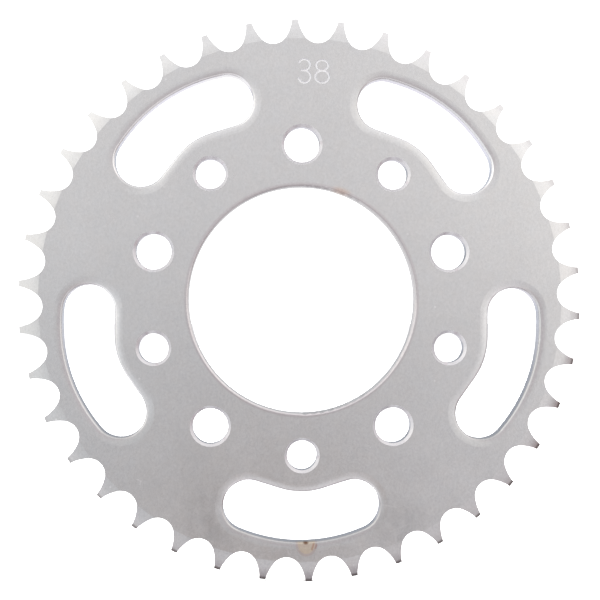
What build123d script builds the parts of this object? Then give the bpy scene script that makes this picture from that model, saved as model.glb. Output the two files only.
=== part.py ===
"""Rear sprocket: one flat steel plate with 38 teeth for a 5/8 inch pitch roller chain.

The plate is drawn lying flat, numbered outer face up, and is stood upright at the end: the
wheel axis then runs along Y through the origin, the numbered face looks towards -Y, the inner
(hub) face towards +Y, and +Z is up.  The origin lies on the wheel axis, halfway through the
plate.  Every size is in millimetres, every angle in degrees.
"""

import os
from math import acos, asin, atan2, cos, degrees, hypot, radians, sin, tan

from build123d import *

# ---------------------------------------------------------------- chain and tooth form
TOOTH_COUNT = 38
CHAIN_PITCH = 15.875
ROLLER_DIAMETER = 10.16
PITCH_RADIUS = CHAIN_PITCH / 2 / sin(radians(180 / TOOTH_COUNT))
ROOT_RADIUS = PITCH_RADIUS - ROLLER_DIAMETER / 2
TIP_RADIUS = 99.75
SEAT_RADIUS = 0.55 * ROLLER_DIAMETER
SEAT_HALF_ANGLE = 54
FLANK_RADIUS = 15.0
FLANK_END_ANGLE = 85
FIRST_TOOTH_ANGLE = 91.4

# ---------------------------------------------------------------- plate and tooth-side relief
PLATE_THICKNESS = 5.8
RELIEF_START_RADIUS = 92.5
RELIEF_START_SLOPE = 4.0
RELIEF_ARC_RADIUS = 20.0

# ---------------------------------------------------------------- hub bore and bolt circle
BORE_DIAMETER = 80.0
BORE_EDGE_ROUND = 0.9
BOLT_CIRCLE_DIAMETER = 110.0
HOLES_PER_SIZE = 5
LARGE_HOLE_DIAMETER = 12.5
LARGE_HOLE_FIRST_ANGLE = 90
SMALL_HOLE_DIAMETER = 10.5
SMALL_HOLE_FIRST_ANGLE = 54
COUNTERSINK_WIDTH = 1.0
COUNTERSINK_ANGLE = 100.0

# ---------------------------------------------------------------- kidney slots
# The slots are cut one after another, so each lies a little off its even 72 degree place.
# Each pair is a slot's shift away from the wheel axis and the angle of its centreline.
SLOT_SHIFTS_AND_ANGLES = ((0, 53.0), (0, 124.9), (0, 197.2), (0, 269.9), (0.5, 342.0))
SLOT_END_CIRCLE_RADIUS = 75.0
SLOT_END_HALF_ANGLE = 14.4
SLOT_END_RADIUS = 9.0
SLOT_OUTER_LIMIT = 85.5
SLOT_INNER_LIMIT = 67.9
SLOT_BULGE_RADIUS = 25.0
SLOT_EDGE_ROUND = 0.9
SLOT_ROLL_RADIUS = 14.0
SLOT_ROLL_SLOPE = 9.0

# ---------------------------------------------------------------- engraved tooth number
STROKE_WIDTH = 0.66
ENGRAVING_DEPTH = 0.25
NUMBER_BASE_Y = 76.8
THREE_CENTRE_X = 0.8
THREE_LOWER_RADIUS = 2.15
THREE_UPPER_RADIUS = 1.95
THREE_LOWER_START = 195
THREE_UPPER_START = 154
THREE_WAIST_BAR = 0.9
WAIST_GAP = 0.1
EIGHT_CENTRE_X = 7.1
EIGHT_LOWER_RADII = (2.45, 2.15)
EIGHT_UPPER_RADII = (2.1, 1.8)

HALF_THICKNESS = PLATE_THICKNESS / 2
TOOTH_ANGLE = 360 / TOOTH_COUNT
NUMBER_WAIST_Y = NUMBER_BASE_Y + 2 * THREE_LOWER_RADIUS + WAIST_GAP / 2


def polar(radius, angle, centre=(0, 0)):
    """Point at a radius and an angle from a centre."""
    return (centre[0] + radius * cos(radians(angle)), centre[1] + radius * sin(radians(angle)))


def plate_section():
    """Half section of the plate rim to bore, with the curved tooth-side relief on both faces."""
    relief_rise = (TIP_RADIUS - RELIEF_START_RADIUS) / RELIEF_ARC_RADIUS
    end_slope = degrees(asin(sin(radians(RELIEF_START_SLOPE)) + relief_rise))
    with BuildSketch(Plane.XZ) as section:
        with BuildLine():
            face = Line((BORE_DIAMETER / 2, HALF_THICKNESS), (RELIEF_START_RADIUS, HALF_THICKNESS))
            relief = JernArc(
                start=face @ 1,
                tangent=polar(1, -RELIEF_START_SLOPE),
                radius=RELIEF_ARC_RADIUS,
                arc_size=RELIEF_START_SLOPE - end_slope,
            )
            Line(relief @ 1, (TIP_RADIUS, 0))
            Line((BORE_DIAMETER / 2, 0), face @ 0)
            mirror(about=Plane.XZ)
        make_face()
    return section.sketch


def tooth_gap():
    """Outline of one gap between two teeth, its root centred on the X axis.

    The chain roller sits in a round seat; each side then opens along a wider hollow flank.
    """
    seat_centre = (ROOT_RADIUS + SEAT_RADIUS, 0)
    flank_centre = polar(FLANK_RADIUS - SEAT_RADIUS, -SEAT_HALF_ANGLE, seat_centre)
    mouth_corner = polar(FLANK_RADIUS, 180 - FLANK_END_ANGLE, flank_centre)
    beyond_tip = TIP_RADIUS + SEAT_RADIUS
    with BuildSketch() as gap:
        with BuildLine():
            CenterArc(seat_centre, SEAT_RADIUS, 180 - SEAT_HALF_ANGLE, SEAT_HALF_ANGLE)
            CenterArc(
                flank_centre, FLANK_RADIUS, 180 - FLANK_END_ANGLE, FLANK_END_ANGLE - SEAT_HALF_ANGLE
            )
            Polyline(mouth_corner, (beyond_tip, mouth_corner[1]), (beyond_tip, 0))
            mirror(about=Plane.XZ)
        make_face()
    return gap.sketch


def kidney_slot():
    """Outline of one kidney slot, its centreline on the X axis.

    Two round ends are joined by one long arc on the rim side.  On the hub side a bulge keeps
    metal round the small bolt hole, and a straight line tangent to both runs into each end.
    """
    end_x, end_y = polar(SLOT_END_CIRCLE_RADIUS, SLOT_END_HALF_ANGLE)
    reach = SLOT_OUTER_LIMIT - SLOT_END_RADIUS
    outer_centre_x = (reach**2 - end_x**2 - end_y**2) / (2 * (reach - end_x))
    outer_radius = SLOT_OUTER_LIMIT - outer_centre_x
    outer_join_angle = degrees(atan2(end_y, end_x - outer_centre_x))

    bulge_centre_x = SLOT_INNER_LIMIT - SLOT_BULGE_RADIUS
    centre_distance = hypot(end_x - bulge_centre_x, end_y)
    lean = degrees(acos((SLOT_BULGE_RADIUS + SLOT_END_RADIUS) / centre_distance))
    bulge_join_angle = degrees(atan2(end_y, end_x - bulge_centre_x)) - lean
    end_sweep = 180 + bulge_join_angle - outer_join_angle
    with BuildSketch() as slot:
        with BuildLine():
            CenterArc((outer_centre_x, 0), outer_radius, 0, outer_join_angle)
            round_end = CenterArc((end_x, end_y), SLOT_END_RADIUS, outer_join_angle, end_sweep)
            bulge = CenterArc((bulge_centre_x, 0), SLOT_BULGE_RADIUS, 0, bulge_join_angle)
            Line(round_end @ 1, bulge @ 1)
            mirror(about=Plane.XZ)
        make_face()
    return slot.sketch


def slot_rim_cutter():
    """Ring that rolls off the rim of one kidney slot in the upper face of the plate.

    Seen across the rim, with depth below the face as the second coordinate, a long shallow arc
    leaves the flat face and leads into a short round one, which ends in the slot's wall.
    """
    outline = kidney_slot().face().outer_wire().moved(Location((0, 0, HALF_THICKNESS)))
    into_metal = (outline % 0).cross(Vector(0, 0, 1))
    arc_gap = SLOT_ROLL_RADIUS - SLOT_EDGE_ROUND
    rim_width = SLOT_EDGE_ROUND + arc_gap * sin(radians(SLOT_ROLL_SLOPE))
    roll_centre = (rim_width, SLOT_ROLL_RADIUS)
    round_centre = polar(arc_gap, 270 - SLOT_ROLL_SLOPE, roll_centre)
    margin = SLOT_EDGE_ROUND
    with BuildPart() as ring:
        with BuildSketch(Plane(origin=outline @ 0, x_dir=into_metal, z_dir=outline % 0)):
            with BuildLine():
                wall_arc = CenterArc(round_centre, SLOT_EDGE_ROUND, 180, 90 - SLOT_ROLL_SLOPE)
                face_arc = CenterArc(
                    roll_centre, SLOT_ROLL_RADIUS, 270 - SLOT_ROLL_SLOPE, SLOT_ROLL_SLOPE
                )
                Polyline(
                    face_arc @ 1,
                    (rim_width, -margin),
                    (-margin, -margin),
                    (-margin, round_centre[1]),
                    wall_arc @ 0,
                )
            make_face()
        sweep(path=outline)
    return ring.part


def oval_stroke(centre, radius_x, radius_y):
    """Outline of a closed oval stroke of the engraved number."""
    half_width = STROKE_WIDTH / 2
    outside = Ellipse(radius_x + half_width, radius_y + half_width)
    inside = Ellipse(radius_x - half_width, radius_y - half_width)
    return Pos(*centre) * (outside - inside)


def number_strokes():
    """Outlines of the strokes of the engraved number.

    Each figure has a larger curve below and a smaller one above, a little apart at the waist.
    """
    three_lower = (THREE_CENTRE_X, NUMBER_BASE_Y + THREE_LOWER_RADIUS)
    three_upper = (THREE_CENTRE_X, NUMBER_WAIST_Y + WAIST_GAP / 2 + THREE_UPPER_RADIUS)
    lower_sweep = 360 + 90 - THREE_LOWER_START
    lower_arc = CenterArc(three_lower, THREE_LOWER_RADIUS, THREE_LOWER_START, lower_sweep)
    upper_arc = CenterArc(three_upper, THREE_UPPER_RADIUS, -90, 90 + THREE_UPPER_START)
    waist_bar_centre = (THREE_CENTRE_X - THREE_WAIST_BAR / 2, NUMBER_WAIST_Y)
    eight_lower = (EIGHT_CENTRE_X, NUMBER_BASE_Y + EIGHT_LOWER_RADII[1])
    eight_upper = (EIGHT_CENTRE_X, NUMBER_WAIST_Y + WAIST_GAP / 2 + EIGHT_UPPER_RADII[1])
    return [
        SlotArc(lower_arc, STROKE_WIDTH),
        SlotArc(upper_arc, STROKE_WIDTH),
        Pos(*waist_bar_centre) * SlotCenterToCenter(THREE_WAIST_BAR, STROKE_WIDTH),
        oval_stroke(eight_lower, *EIGHT_LOWER_RADII),
        oval_stroke(eight_upper, *EIGHT_UPPER_RADII),
    ]


def round_holes(diameter, first_angle):
    """Cut one set of round holes, countersunk on both faces and even on the bolt circle."""
    radius = diameter / 2
    depth = COUNTERSINK_WIDTH / tan(radians(COUNTERSINK_ANGLE / 2))
    with PolarLocations(BOLT_CIRCLE_DIAMETER / 2, HOLES_PER_SIZE, first_angle):
        Hole(radius)
        with Locations((0, 0, HALF_THICKNESS - depth / 2)):
            Cone(radius, radius + COUNTERSINK_WIDTH, depth, mode=Mode.SUBTRACT)
        with Locations((0, 0, depth / 2 - HALF_THICKNESS)):
            Cone(radius + COUNTERSINK_WIDTH, radius, depth, mode=Mode.SUBTRACT)


tooth_number = number_strokes()
slot_places = [
    Location((*polar(shift, angle), 0), (0, 0, angle)) for shift, angle in SLOT_SHIFTS_AND_ANGLES
]

with BuildPart() as plate:
    # Turned disc: bore with rounded rims, flat faces, and the relief on the toothed edge.
    add(plate_section())
    revolve(axis=Axis.Z)
    bore_wall = plate.faces().filter_by(GeomType.CYLINDER).sort_by(SortBy.RADIUS)[0]
    fillet(bore_wall.edges().filter_by(GeomType.CIRCLE), BORE_EDGE_ROUND)

    # Chain teeth: each gap lies half a tooth angle from its two teeth.
    with BuildSketch():
        with PolarLocations(0, TOOTH_COUNT, FIRST_TOOTH_ANGLE + TOOTH_ANGLE / 2):
            add(tooth_gap())
    extrude(amount=PLATE_THICKNESS, both=True, mode=Mode.SUBTRACT)

    # Kidney slots, one outside each small bolt hole, rolled off round their rims on both faces.
    with BuildSketch():
        with Locations(*slot_places):
            add(kidney_slot())
    extrude(amount=PLATE_THICKNESS, both=True, mode=Mode.SUBTRACT)
    upper_ring = slot_rim_cutter()
    with Locations(*slot_places):
        add(upper_ring, mode=Mode.SUBTRACT)
        add(mirror(upper_ring, about=Plane.XY, mode=Mode.PRIVATE), mode=Mode.SUBTRACT)

    # Two sets of bolt holes share one bolt circle and alternate round it.
    round_holes(LARGE_HOLE_DIAMETER, LARGE_HOLE_FIRST_ANGLE)
    round_holes(SMALL_HOLE_DIAMETER, SMALL_HOLE_FIRST_ANGLE)

    # Tooth number, engraved in the outer face.
    for stroke in tooth_number:
        with BuildSketch(Plane.XY.offset(HALF_THICKNESS)):
            add(stroke)
        extrude(amount=-ENGRAVING_DEPTH, mode=Mode.SUBTRACT)

# Stand the plate upright: its outer face turns to look towards -Y.
sprocket_plate = plate.part.moved(Location(Plane.XZ))
sprocket_plate.label = "sprocket_plate"

os.makedirs("parts", exist_ok=True)
export_step(sprocket_plate, "parts/sprocket_plate.step")
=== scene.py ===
"""Rear sprocket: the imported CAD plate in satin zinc-plated steel, in soft white studio light."""

import math

import bpy
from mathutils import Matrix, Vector


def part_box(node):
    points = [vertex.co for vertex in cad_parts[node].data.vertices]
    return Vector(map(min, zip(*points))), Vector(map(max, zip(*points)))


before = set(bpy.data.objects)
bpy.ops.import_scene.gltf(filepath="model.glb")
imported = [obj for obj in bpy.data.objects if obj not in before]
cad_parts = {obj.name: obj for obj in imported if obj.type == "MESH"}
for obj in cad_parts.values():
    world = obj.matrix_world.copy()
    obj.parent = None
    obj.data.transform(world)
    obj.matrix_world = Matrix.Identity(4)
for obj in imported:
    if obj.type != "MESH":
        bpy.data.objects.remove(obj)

bpy.context.view_layer.update()

# ---------------------------------------------------------------- places taken from the frame
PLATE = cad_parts["sprocket_plate"]
PLATE_LOW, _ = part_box("sprocket_plate")
OUTER_FACE_Y = PLATE_LOW[1]
FLOOR_Z = PLATE_LOW[2]
MM = 0.001

# ---------------------------------------------------------------- camera
CAMERA_DISTANCE = 0.425
CAMERA_AZIMUTH = -2.46
CAMERA_ELEVATION = -0.25
CAMERA_LENS = 72.2
SENSOR_WIDTH = 36.0
CLIP_START = 0.01
CLIP_END = 50.0
AIM_OFFSET = Vector((-0.74 * MM, 0.0, -0.04 * MM))


# ---------------------------------------------------------------- helpers
def from_the_centre(azimuth, elevation):
    """Unit vector of a direction in degrees, azimuth from straight in front, positive to the right."""
    turn = math.radians(azimuth)
    lift = math.radians(elevation)
    return (math.sin(turn) * math.cos(lift), -math.cos(turn) * math.cos(lift), math.sin(lift))


def cosine(degrees):
    return math.cos(math.radians(degrees))


def material(name):
    """A new node material with an empty tree."""
    made = bpy.data.materials.new(name)
    made.use_nodes = True
    made.node_tree.nodes.clear()
    return made


class Tree:
    """Short calls for building a node tree."""

    def __init__(self, node_tree):
        self.tree = node_tree

    def node(self, kind, **settings):
        made = self.tree.nodes.new(kind)
        for name, value in settings.items():
            setattr(made, name, value)
        return made

    def link(self, value, socket):
        """Join an output, or set a number, a vector or an opaque colour of three numbers."""
        if isinstance(value, bpy.types.NodeSocket):
            self.tree.links.new(value, socket)
        elif value is not None:
            socket.default_value = (*value, 1.0) if socket.type == "RGBA" else value

    def math(self, operation, a, b=None, c=None, clamp=False):
        made = self.node("ShaderNodeMath", operation=operation, use_clamp=clamp)
        for value, socket in zip((a, b, c), made.inputs):
            self.link(value, socket)
        return made.outputs[0]

    def vector(self, operation, a, b=None, c=None):
        made = self.node("ShaderNodeVectorMath", operation=operation)
        for value, socket in zip((a, b, c), made.inputs):
            self.link(value, socket)
        return made.outputs["Value" if operation in ("LENGTH", "DOT_PRODUCT") else "Vector"]

    def combine(self, x, y, z):
        made = self.node("ShaderNodeCombineXYZ")
        for value, socket in zip((x, y, z), made.inputs):
            self.link(value, socket)
        return made.outputs[0]

    def separate(self, vector):
        made = self.node("ShaderNodeSeparateXYZ")
        self.link(vector, made.inputs[0])
        return tuple(made.outputs)

    def ramp(self, value, low, high, to_low=0.0, to_high=1.0):
        """Smooth step of value from low to high."""
        made = self.node("ShaderNodeMapRange", interpolation_type="SMOOTHSTEP")
        for given, socket in zip((value, low, high, to_low, to_high), made.inputs):
            self.link(given, socket)
        return made.outputs[0]

    def band(self, value, low, high, soft):
        """1 between low and high, fading to 0 over soft outside them."""
        rise = self.ramp(value, low - soft, low)
        fall = self.ramp(value, high, high + soft, 1.0, 0.0)
        return self.math("MULTIPLY", rise, fall)

    def noise(self, vector, scale, detail=3.0, roughness=0.5):
        """Noise centred on 0, about -0.5 to 0.5."""
        made = self.node("ShaderNodeTexNoise")
        self.link(vector, made.inputs["Vector"])
        made.inputs["Scale"].default_value = scale
        made.inputs["Detail"].default_value = detail
        made.inputs["Roughness"].default_value = roughness
        return self.math("SUBTRACT", made.outputs["Fac"], 0.5)

    def blend(self, kind, amount, below, above):
        made = self.node("ShaderNodeMix", data_type="RGBA", blend_type=kind)
        self.link(amount, made.inputs[0])
        self.link(below, made.inputs[6])
        self.link(above, made.inputs[7])
        return made.outputs[2]

    def tint(self, colour, amount, factors):
        """The colour multiplied by the factors where amount is 1."""
        return self.blend("MULTIPLY", amount, colour, factors)

    def vary(self, colour, swing):
        """The colour multiplied by 1 plus swing, a number that goes both ways from 0."""
        return self.vector("MULTIPLY", colour, self.math("ADD", swing, 1.0))


# ---------------------------------------------------------------- steel
# Every place and length in this section is in millimetres in the plate's own frame: x to the
# right, y into the plate and z up, from the centre of the bore. A pair of numbers that a ramp
# takes is where it is 0 and where it is 1.
STEEL = (0.655, 0.655, 0.655)
FACE_Y = OUTER_FACE_Y / MM
BORE_RADIUS = 40.0
BOLT_CIRCLE_RADIUS = 55.0
RELIEF_RADIUS = 92.5
ROLL_TILT = math.sin(math.radians(9.0))
COUNTERSINK_TILT = math.sin(math.radians(40.0))
FRONT_TILT = (-0.6, -0.9)
WALL_TILT = (0.5, 0.2)


def plate_direction(degrees):
    """Unit vector across the plate, anticlockwise from its right side, seen from the front."""
    angle = math.radians(degrees)
    return (math.cos(angle), math.sin(angle), 0.0)


class Steel(Tree):
    """The node tree of the plated steel, with the place and tilt of the shaded point."""

    def __init__(self, node_tree):
        super().__init__(node_tree)
        texture = self.node("ShaderNodeTexCoord")
        self.place = self.vector("DIVIDE", texture.outputs["Object"], (MM, MM, MM))
        self.x, self.y, self.z = self.separate(self.place)
        self.flat = self.combine(self.x, self.z, 0.0)
        self.radius = self.vector("LENGTH", self.flat)
        self.normal = texture.outputs["Normal"]
        tilt_x, tilt_y, tilt_z = self.separate(self.normal)
        self.front = self.ramp(tilt_y, *FRONT_TILT)
        self.wall = self.ramp(self.math("ABSOLUTE", tilt_y), *WALL_TILT)
        self.outward = self.vector("NORMALIZE", self.flat)
        self.downward = self.math("MULTIPLY", tilt_z, -1.0)
        across = self.combine(tilt_x, tilt_z, 0.0)
        self.outwards = self.vector("DOT_PRODUCT", across, self.outward)
        self.inward = self.math("MULTIPLY", self.outwards, -1.0)
        along = self.vector("CROSS_PRODUCT", self.outward, across)
        self.anticlockwise = self.separate(along)[2]
        self.clockwise = self.math("MULTIPLY", self.anticlockwise, -1.0)

    def blob(self, centre, size, soft):
        """1 inside an ellipse on the plate, fading out over its outer part."""
        offset = self.vector("SUBTRACT", self.flat, (*centre, 0.0))
        scaled = self.vector("DIVIDE", offset, (*size, 1.0))
        return self.ramp(self.vector("LENGTH", scaled), 1.0, 1.0 - soft)

    def line(self, start, end, half_width):
        """1 along a straight scratch on the plate, fading over its own width."""
        along = Vector(end) - Vector(start)
        offset = self.vector("SUBTRACT", self.flat, (*start, 0.0))
        reach = (along / along.length_squared).to_3d()
        share = self.math("MULTIPLY", self.vector("DOT_PRODUCT", offset, reach), 1.0, clamp=True)
        nearest = self.vector("MULTIPLY", along.to_3d(), self.combine(share, share, 0.0))
        distance = self.vector("LENGTH", self.vector("SUBTRACT", offset, nearest))
        return self.ramp(distance, 2.0 * half_width, 0.5 * half_width)

    def on_front(self, amount):
        """The amount on the numbered face, and 0 elsewhere."""
        return self.math("MULTIPLY", amount, self.front)


# Noise scales are per millimetre, and a swing is how far the noise moves the colour. A swing of
# two values grows from the first to the second down the lower half of the plate.
GRAIN_STRETCH = (1.0, 1.0, 0.75)
LOWER_HALF_Z = (-25.0, -75.0)
FINE_GRAIN_SCALE = 1.6
FINE_GRAIN_SWING = (0.18, 0.23)
MOTTLE_SCALE = 0.75
MOTTLE_SWING = 0.07
CLOUD_SCALE = 0.07
CLOUD_SWING = (0.075, 0.165)
HUE_SCALE = 0.25
HUE_SWING = 0.03


def steel_grain(t, colour):
    """Fine grain, upright mottling and broad clouds of the plating."""
    upright = t.vector("MULTIPLY", t.place, GRAIN_STRETCH)
    fine = t.noise(upright, FINE_GRAIN_SCALE, detail=2.0)
    mottle = t.noise(upright, MOTTLE_SCALE, roughness=0.6)
    cloud = t.noise(t.place, CLOUD_SCALE)
    swing = t.math("MULTIPLY", fine, t.ramp(t.z, *LOWER_HALF_Z, *FINE_GRAIN_SWING))
    swing = t.math("MULTIPLY_ADD", mottle, MOTTLE_SWING, swing)
    swing = t.math("MULTIPLY_ADD", cloud, t.ramp(t.z, *LOWER_HALF_Z, *CLOUD_SWING), swing)
    colour = t.vary(colour, swing)
    pink = t.math("MULTIPLY", t.noise(t.place, HUE_SCALE), HUE_SWING)
    hue = t.combine(t.math("ADD", pink, 1.0), 1.0, t.math("SUBTRACT", 1.0, pink))
    return t.vector("MULTIPLY", colour, hue), fine


TURNED_RINGS_PER_MM = 3.4
TURNED_PATCH_SCALE = 0.045
TURNED_PATCH_RAMP = (-0.1, 0.12)
TURNED_SWING = 0.11
RELIEF_FADE = 1.5


def turning_marks(t, colour):
    """Fine rings that the lathe left on the tooth reliefs."""
    across = t.combine(t.math("MULTIPLY", t.radius, TURNED_RINGS_PER_MM), 0.0, 0.0)
    rings = t.noise(across, 1.0, detail=2.0)
    patches = t.ramp(t.noise(t.place, TURNED_PATCH_SCALE, detail=1.0), *TURNED_PATCH_RAMP)
    relief = t.ramp(t.radius, RELIEF_RADIUS - RELIEF_FADE, RELIEF_RADIUS)
    amount = t.math("MULTIPLY", t.math("MULTIPLY", relief, patches), TURNED_SWING)
    return t.vary(colour, t.math("MULTIPLY", rings, amount))


# Painted shade where the slot rims roll over and along the rim of the bore.
EDGE_SHADE = (0.93, 0.895, 0.905)
ROLLED_SHARE = (0.75, 0.95)
ROLLED_SOFT = 0.07
BORE_RIM = (0.6, 1.2)
BORE_RIM_SOFT = 0.7


def edge_shades(t, colour):
    """Painted shade, darker and faintly pink, where the slot rims roll over and along the bore."""
    low, high = (share * ROLL_TILT for share in ROLLED_SHARE)
    colour = t.tint(colour, t.band(t.inward, low, high, ROLLED_SOFT), EDGE_SHADE)
    low, high = (BORE_RADIUS + width for width in BORE_RIM)
    return t.tint(colour, t.band(t.radius, low, high, BORE_RIM_SOFT), EDGE_SHADE)


SLOT_RING = (62.0, 89.5)
SLOT_RING_SOFT = 0.5
SLOT_HALF_ANGLES = (34.0, 26.0)
OUTER_ROUND_SHARE = (0.8, 1.2)
# Painted light and shade on the slot rims, set by the way each rim tilts.
SLOT_RIM_PAINTED_LIGHT = {
    # direction of the slot: gain of painted light and shade where its rim tilts outwards, inwards,
    # clockwise and anticlockwise, and on the round that ends the rim on its outer side
    54: (1.00, 1.05, 0.92, 1.05, 1.30),
    126: (1.06, 1.05, 0.90, 1.18, 1.30),
    198: (1.24, 1.00, 0.82, 1.25, 0.92),
    270: (1.25, 0.86, 1.12, 1.18, 0.85),
    342: (1.10, 1.00, 1.28, 0.84, 0.88),
}


def painted_slot_rim_light(t, colour):
    """Painted light and shade on the rims of the kidney slots, brighter on some slots and darker on
    others by the way each rim tilts.
    """
    ring = t.band(t.radius, *SLOT_RING, SLOT_RING_SOFT)
    sides = (t.outwards, t.inward, t.clockwise, t.anticlockwise)
    parts = [t.ramp(side, 0.0, ROLL_TILT) for side in sides]
    parts.append(t.ramp(t.inward, *(share * ROLL_TILT for share in OUTER_ROUND_SHARE)))
    parts = [t.math("MULTIPLY", ring, part) for part in parts]
    for direction, gains in SLOT_RIM_PAINTED_LIGHT.items():
        facing = t.vector("DOT_PRODUCT", t.outward, plate_direction(direction))
        here = t.ramp(facing, *(cosine(angle) for angle in SLOT_HALF_ANGLES))
        for part, gain in zip(parts, gains):
            colour = t.tint(colour, t.math("MULTIPLY", here, part), (gain, gain, gain))
    return colour


# Painted shade on the tooth tips round the lower right, for the dark room that they mirror there.
SHADED_TIPS_DIRECTION = 290.0
SHADED_TIPS_FACING = (-0.1, 0.8)
SHADED_TIPS_RADII = (98.3, 99.4)
TIPS_PAINTED_SHADE = (0.36, 0.33, 0.32)


def painted_tip_shade(t, colour):
    """Painted shade, a dark reflection, on the tooth tips round the lower right of the plate."""
    facing = t.vector("DOT_PRODUCT", t.outward, plate_direction(SHADED_TIPS_DIRECTION))
    at_tip = t.ramp(t.radius, *SHADED_TIPS_RADII)
    amount = t.math("MULTIPLY", at_tip, t.ramp(facing, *SHADED_TIPS_FACING))
    return t.tint(colour, amount, TIPS_PAINTED_SHADE)


BORE_RUST = ((14.0, 38.6), (5.0, 3.0), (1.02, 0.90, 0.82))
BORE_RUST_RADII = (43.0, 41.2)


def rust(t, colour):
    """Faint rust on the rounded rim of the bore."""
    centre, size, factors = BORE_RUST
    at_rim = t.ramp(t.radius, *BORE_RUST_RADII)
    amount = t.math("MULTIPLY", t.blob(centre, size, soft=0.8), at_rim)
    return t.tint(colour, amount, factors)


SMUDGES = {
    # centre, half width and half height, and depth
    "left_of_bottom_slot": ((-31.0, -77.0), (13.0, 16.0), 0.14),
    "right_of_bottom_slot": ((34.0, -79.0), (14.0, 12.0), 0.11),
    "under_bottom_slot": ((0.0, -89.0), (26.0, 4.0), 0.05),
}
SMUDGE_STRETCH = (1.0, 1.0, 0.6)
SMUDGE_SCALE = 0.22
SMUDGE_RAMP = (-0.22, 0.1)


def smudges(t, colour):
    """Broken darker patches round the bottom slot."""
    stretched = t.vector("MULTIPLY", t.place, SMUDGE_STRETCH)
    broken = t.ramp(t.noise(stretched, SMUDGE_SCALE, detail=4.0), *SMUDGE_RAMP)
    for centre, size, depth in SMUDGES.values():
        amount = t.on_front(t.math("MULTIPLY", t.blob(centre, size, soft=0.8), broken))
        colour = t.tint(colour, amount, (1.0 - depth, 1.0 - depth, 1.0 - depth))
    return colour


SPECK_CELL_SCALE = 0.105
SPECK_REACH = (0.055, 0.02)
SPECK_CHANCE = (0.80, 1.0)
SPECK_GAIN = (1.18, 1.18, 1.18)


def specks(t, colour):
    """A few tiny bright specks, some of the points of a plane of random cells."""
    cells = t.node("ShaderNodeTexVoronoi", voronoi_dimensions="2D")
    t.link(t.flat, cells.inputs["Vector"])
    cells.inputs["Scale"].default_value = SPECK_CELL_SCALE
    chosen = t.ramp(t.separate(cells.outputs["Color"])[0], *SPECK_CHANCE)
    near = t.ramp(cells.outputs["Distance"], *SPECK_REACH)
    return t.tint(colour, t.on_front(t.math("MULTIPLY", near, chosen)), SPECK_GAIN)


SCRATCHES = (
    # start, end, half width and how much brighter
    ((28.4, -72.5), (33.8, -73.5), 0.10, 0.09),
    ((31.0, -82.0), (37.5, -79.6), 0.12, 0.06),
    ((-57.9, -63.0), (-56.6, -63.6), 0.16, 0.13),
    ((-56.6, -63.6), (-56.9, -64.9), 0.16, 0.13),
    ((-42.5, -60.0), (-40.0, -55.5), 0.12, -0.05),
)


def scratches(t, colour):
    """Short straight scratches, most of them brighter than the plating."""
    for start, end, half_width, gain in SCRATCHES:
        amount = t.on_front(t.line(start, end, half_width))
        colour = t.tint(colour, amount, (1.0 + gain, 1.0 + gain, 1.0 + gain))
    return colour


STAIN_DEPTHS = (0.0, 0.5 * FACE_Y)
STAIN_CENTRE = (1.5, -85.9)
STAIN_LAYERS = (((4.3, 5.3), (0.98, 0.90, 0.87)), ((3.5, 4.3), (1.13, 1.09, 0.94)))
STAIN_EDGE_SCALE = 0.8
STAIN_EDGE_SWING = 0.25
STAIN_EDGE_RAMP = (0.1, 0.6)
STAIN_CORE = ((1.3, -85.8), (1.35, 0.85), (0.36, 0.23, 0.18))
STAIN_STREAKS = (((4.1, -86.2), (3.5, -88.0)), ((5.1, -86.6), (4.7, -87.6)))
STREAK_HALF_WIDTH = 0.28
STREAK_TINT = (0.84, 0.70, 0.66)


def stain(t, colour):
    """Tan stain under the bottom slot, with a dark core and two reddish streaks."""
    skin = t.ramp(t.y, *STAIN_DEPTHS)
    for size, factors in STAIN_LAYERS:
        blob = t.blob(STAIN_CENTRE, size, soft=0.3)
        uneven = t.noise(t.place, STAIN_EDGE_SCALE)
        edge = t.math("MULTIPLY_ADD", uneven, STAIN_EDGE_SWING, blob)
        colour = t.tint(colour, t.math("MULTIPLY", skin, t.ramp(edge, *STAIN_EDGE_RAMP)), factors)
    centre, size, factors = STAIN_CORE
    colour = t.tint(colour, t.math("MULTIPLY", skin, t.blob(centre, size, soft=0.8)), factors)
    for start, end in STAIN_STREAKS:
        streak = t.line(start, end, STREAK_HALF_WIDTH)
        colour = t.tint(colour, t.math("MULTIPLY", skin, streak), STREAK_TINT)
    return colour


# Painted highlight: the engraved number is drawn near white for the light that its cut catches.
ENGRAVING_PAINTED_HIGHLIGHT = (0.90, 0.90, 0.90)
NUMBER_LOW = (-4.0, 75.0)
NUMBER_HIGH = (14.0, 86.0)
NUMBER_SOFT = 0.1
NUMBER_DEPTHS = (0.03, 0.5)
NUMBER_DEPTH_SOFT = 0.02


def engraving(t):
    """1 in the engraved number, below the face of the plate."""
    across = t.band(t.x, NUMBER_LOW[0], NUMBER_HIGH[0], NUMBER_SOFT)
    upward = t.band(t.z, NUMBER_LOW[1], NUMBER_HIGH[1], NUMBER_SOFT)
    low, high = (FACE_Y + below for below in NUMBER_DEPTHS)
    depth = t.band(t.y, low, high, NUMBER_DEPTH_SOFT)
    return t.math("MULTIPLY", depth, t.math("MULTIPLY", across, upward))


# Painted highlight on the countersinks of the bolt holes.
COUNTERSINK_PAINTED_HIGHLIGHT = (1.19, 1.18, 1.20)
COUNTERSINK_UNDERSIDE_HIGHLIGHT = 0.22
HOLES_HALF_WIDTH = 8.0
HOLES_SOFT = 0.2
COUNTERSINK_TILT_SPREAD = 0.15
COUNTERSINK_TILT_SOFT = 0.1


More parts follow.
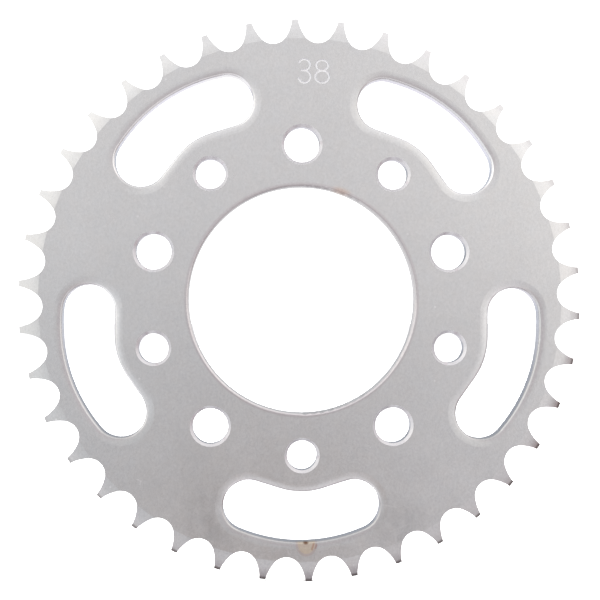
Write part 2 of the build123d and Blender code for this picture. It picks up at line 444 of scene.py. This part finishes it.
def countersinks(t):
    """1 on the countersinks of the bolt holes, found by their tilt."""
    low, high = (BOLT_CIRCLE_RADIUS + side * HOLES_HALF_WIDTH for side in (-1, 1))
    ring = t.band(t.radius, low, high, HOLES_SOFT)
    tilt = t.vector("LENGTH", t.vector("MULTIPLY", t.normal, (1.0, 0.0, 1.0)))
    low, high = (COUNTERSINK_TILT + side * COUNTERSINK_TILT_SPREAD for side in (-1, 1))
    return t.math("MULTIPLY", ring, t.band(tilt, low, high, COUNTERSINK_TILT_SOFT))


def painted_countersink_highlight(t, colour, sunk):
    """Painted highlight on the countersinks, strongest where they face down."""
    colour = t.tint(colour, sunk, COUNTERSINK_PAINTED_HIGHLIGHT)
    facing_down = t.math("MULTIPLY", sunk, t.downward)
    return t.vary(colour, t.math("MULTIPLY", facing_down, COUNTERSINK_UNDERSIDE_HIGHLIGHT))


# Painted shade on the cut walls, and painted light on the walls that face down.
WALL_RING = (47.0, 91.0)
WALL_RING_SOFT = 0.2
SLOT_WALLS_START = (62.5, 63.5)
LIT_WALL_DOWNWARD = (0.2, 0.8)
HOLE_WALL_SHADE = (0.48, 0.53, 0.61)
SLOT_WALL_SHADE = (0.70, 0.75, 0.84)
LIT_WALL_SHADE = (0.98, 0.97, 1.06)


def painted_wall_shade_and_light(t, colour):
    """Painted shade on the cut walls of the holes and slots, dark and bluish, with painted light where
    they face down.
    """
    amount = t.math("MULTIPLY", t.band(t.radius, *WALL_RING, WALL_RING_SOFT), t.wall)
    beyond_holes = t.ramp(t.radius, *SLOT_WALLS_START)
    shade = t.blend("MIX", beyond_holes, HOLE_WALL_SHADE, SLOT_WALL_SHADE)
    shade = t.blend("MIX", t.ramp(t.downward, *LIT_WALL_DOWNWARD), shade, LIT_WALL_SHADE)
    return t.tint(colour, amount, shade)


DRAWN_STRETCH = (3.0, 0.12, 3.0)
DRAWN_SWING = 0.35


def drawn_walls(t, colour):
    """Fine lines through the thickness that the cutter left on every wall."""
    drawn = t.noise(t.vector("MULTIPLY", t.place, DRAWN_STRETCH), 1.0)
    return t.vary(colour, t.math("MULTIPLY", t.math("MULTIPLY", drawn, t.wall), DRAWN_SWING))


ROUGHNESS = 0.26
ROUGHNESS_SCALE = 0.35
ROUGHNESS_SWING = 0.06
WALL_ROUGHER = 0.06
ENGRAVING_ROUGHER = 0.35
COUNTERSINK_ROUGHER = 0.12


def steel_roughness(t, cut, sunk):
    """Uneven gloss, duller on walls, in the engraving and on the countersinks."""
    patches = t.noise(t.place, ROUGHNESS_SCALE, detail=4.0)
    roughness = t.math("MULTIPLY_ADD", patches, ROUGHNESS_SWING, ROUGHNESS)
    roughness = t.math("MULTIPLY_ADD", t.wall, WALL_ROUGHER, roughness)
    roughness = t.math("MULTIPLY_ADD", cut, ENGRAVING_ROUGHER, roughness)
    return t.math("MULTIPLY_ADD", sunk, COUNTERSINK_ROUGHER, roughness)


GRAIN_HEIGHT = 0.0035 * MM


def plated_steel():
    """Satin zinc-plated steel with the marks that this plate has, and painted light and shade on its
    rims, tooth tips, countersinks, walls and engraved number.
    """
    steel = material("plated_steel_satin")
    t = Steel(steel.node_tree)
    colour, fine = steel_grain(t, STEEL)
    for add_shades in (turning_marks, edge_shades, painted_slot_rim_light, painted_tip_shade):
        colour = add_shades(t, colour)
    for add_marks in (rust, smudges, specks, scratches, stain):
        colour = add_marks(t, colour)
    cut = engraving(t)
    # Painted highlight in the engraved number.
    colour = t.blend("MIX", cut, colour, ENGRAVING_PAINTED_HIGHLIGHT)
    sunk = countersinks(t)
    colour = painted_countersink_highlight(t, colour, sunk)
    colour = painted_wall_shade_and_light(t, colour)
    colour = drawn_walls(t, colour)
    bump = t.node("ShaderNodeBump")
    bump.inputs["Strength"].default_value = 1.0
    bump.inputs["Distance"].default_value = GRAIN_HEIGHT
    t.link(fine, bump.inputs["Height"])
    shader = t.node("ShaderNodeBsdfPrincipled")
    shader.inputs["Metallic"].default_value = 1.0
    t.link(colour, shader.inputs["Base Color"])
    t.link(steel_roughness(t, cut, sunk), shader.inputs["Roughness"])
    t.link(bump.outputs[0], shader.inputs["Normal"])
    output = t.node("ShaderNodeOutputMaterial")
    t.link(shader.outputs[0], output.inputs["Surface"])
    return steel


PLATE.material_slots[0].material = plated_steel()


# ---------------------------------------------------------------- studio
# The steel mirrors the room, so the room is drawn as soft areas round the sprocket. Each area is
# a direction (azimuth from straight in front, positive to the right, and elevation), the angles
# where it is full and where it has faded out, all in degrees, and the light that it adds.
ROOM_LIGHT = (0.99, 0.975, 0.995)
SKY_LIGHT = (0.17, 0.145, 0.13)
SKY_START_Z = -0.03
SKY_FULL_Z = 0.05
ROOM_AREAS = {
    "camera_body": (0, -11.5, 0, 7, (-0.30, -0.39, -0.47)),
    "right_softbox": (33, 12, 15, 27, (0.38, 0.39, 0.36)),
    "left_softbox": (-48, 17, 20, 40, (0.36, 0.35, 0.31)),
    "top_softbox": (-25, 78, 35, 75, (0.20, 0.20, 0.20)),
    "upper_left_wall": (-30, 20, 25, 65, (-0.24, -0.21, -0.20)),
    "lower_right_wall": (42, -30, 0, 75, (-0.21, -0.23, -0.23)),
    "doorway": (62, -22, 6, 19, (-0.40, -0.47, -0.49)),
    "table_edge": (-3, -78, 5, 45, (-0.46, -0.48, -0.47)),
    "table_top": (15, -82, 5, 18, (0.70, 0.75, 0.74)),
    "backdrop": (180, 48, 46, 50, (-0.48, -0.43, -0.41)),
}
SEEN_WHITE = (1.0, 1.0, 1.0)
SEEN_STRENGTH = 2.2
FLOOR_RADIUS = 6.0
FLOOR_VERTICES = 96
FLOOR_WHITE = (0.95, 0.95, 0.95)
FLOOR_LIGHT_WATTS = 150.0
FLOOR_LIGHT_SIZE = 3.0
FLOOR_LIGHT_HEIGHT = 2.0


def studio_world():
    """The room that the steel mirrors, and plain white where the camera sees past the plate."""
    world = bpy.data.worlds.new("studio")
    world.use_nodes = True
    world.node_tree.nodes.clear()
    t = Tree(world.node_tree)
    direction = t.node("ShaderNodeTexCoord").outputs["Generated"]
    sky = t.ramp(t.separate(direction)[2], SKY_START_Z, SKY_FULL_Z)
    light = t.vector("MULTIPLY_ADD", SKY_LIGHT, sky, ROOM_LIGHT)
    for azimuth, elevation, full, faded, colour in ROOM_AREAS.values():
        facing = t.vector("DOT_PRODUCT", direction, from_the_centre(azimuth, elevation))
        amount = t.ramp(facing, cosine(faded), cosine(full))
        light = t.vector("MULTIPLY_ADD", colour, amount, light)
    room = t.node("ShaderNodeBackground")
    t.link(light, room.inputs["Color"])
    white = t.node("ShaderNodeBackground")
    t.link(SEEN_WHITE, white.inputs["Color"])
    white.inputs["Strength"].default_value = SEEN_STRENGTH
    chosen = t.node("ShaderNodeMixShader")
    t.link(t.node("ShaderNodeLightPath").outputs["Is Camera Ray"], chosen.inputs[0])
    t.link(room.outputs[0], chosen.inputs[1])
    t.link(white.outputs[0], chosen.inputs[2])
    output = t.node("ShaderNodeOutputWorld")
    t.link(chosen.outputs[0], output.inputs["Surface"])
    bpy.context.scene.world = world


def floor():
    """White floor under the lowest teeth."""
    bpy.ops.mesh.primitive_circle_add(
        vertices=FLOOR_VERTICES, radius=FLOOR_RADIUS, fill_type="NGON", location=(0, 0, FLOOR_Z)
    )
    made = bpy.context.object
    made.name = "floor"
    paint = material("floor_white")
    t = Tree(paint.node_tree)
    shader = t.node("ShaderNodeBsdfDiffuse")
    t.link(FLOOR_WHITE, shader.inputs["Color"])
    output = t.node("ShaderNodeOutputMaterial")
    t.link(shader.outputs[0], output.inputs["Surface"])
    made.data.materials.append(paint)
    made.visible_glossy = False


def floor_light():
    """Large soft light over the floor; the steel mirrors the room and not this lamp."""
    data = bpy.data.lights.new("floor_light", "AREA")
    data.shape = "DISK"
    data.size = FLOOR_LIGHT_SIZE
    data.energy = FLOOR_LIGHT_WATTS
    made = bpy.data.objects.new("floor_light", data)
    bpy.context.scene.collection.objects.link(made)
    made.location = (0.0, 0.0, FLOOR_Z + FLOOR_LIGHT_HEIGHT)
    made.visible_glossy = False
    made.visible_camera = False


def camera():
    """Camera of the photo's view, almost straight in front of the plate."""
    data = bpy.data.cameras.new("camera")
    data.sensor_width = SENSOR_WIDTH
    data.lens = CAMERA_LENS
    data.clip_start = CLIP_START
    data.clip_end = CLIP_END
    made = bpy.data.objects.new("camera", data)
    bpy.context.scene.collection.objects.link(made)
    back = Vector(from_the_centre(CAMERA_AZIMUTH, CAMERA_ELEVATION))
    aim = Vector((0.0, OUTER_FACE_Y, 0.0)) + AIM_OFFSET
    made.location = aim + back * CAMERA_DISTANCE
    made.rotation_mode = "QUATERNION"
    made.rotation_quaternion = (-back).to_track_quat("-Z", "Y")
    bpy.context.scene.camera = made


studio_world()
floor()
floor_light()
camera()
bpy.context.scene.view_settings.view_transform = "Standard"

bpy.context.view_layer.update()
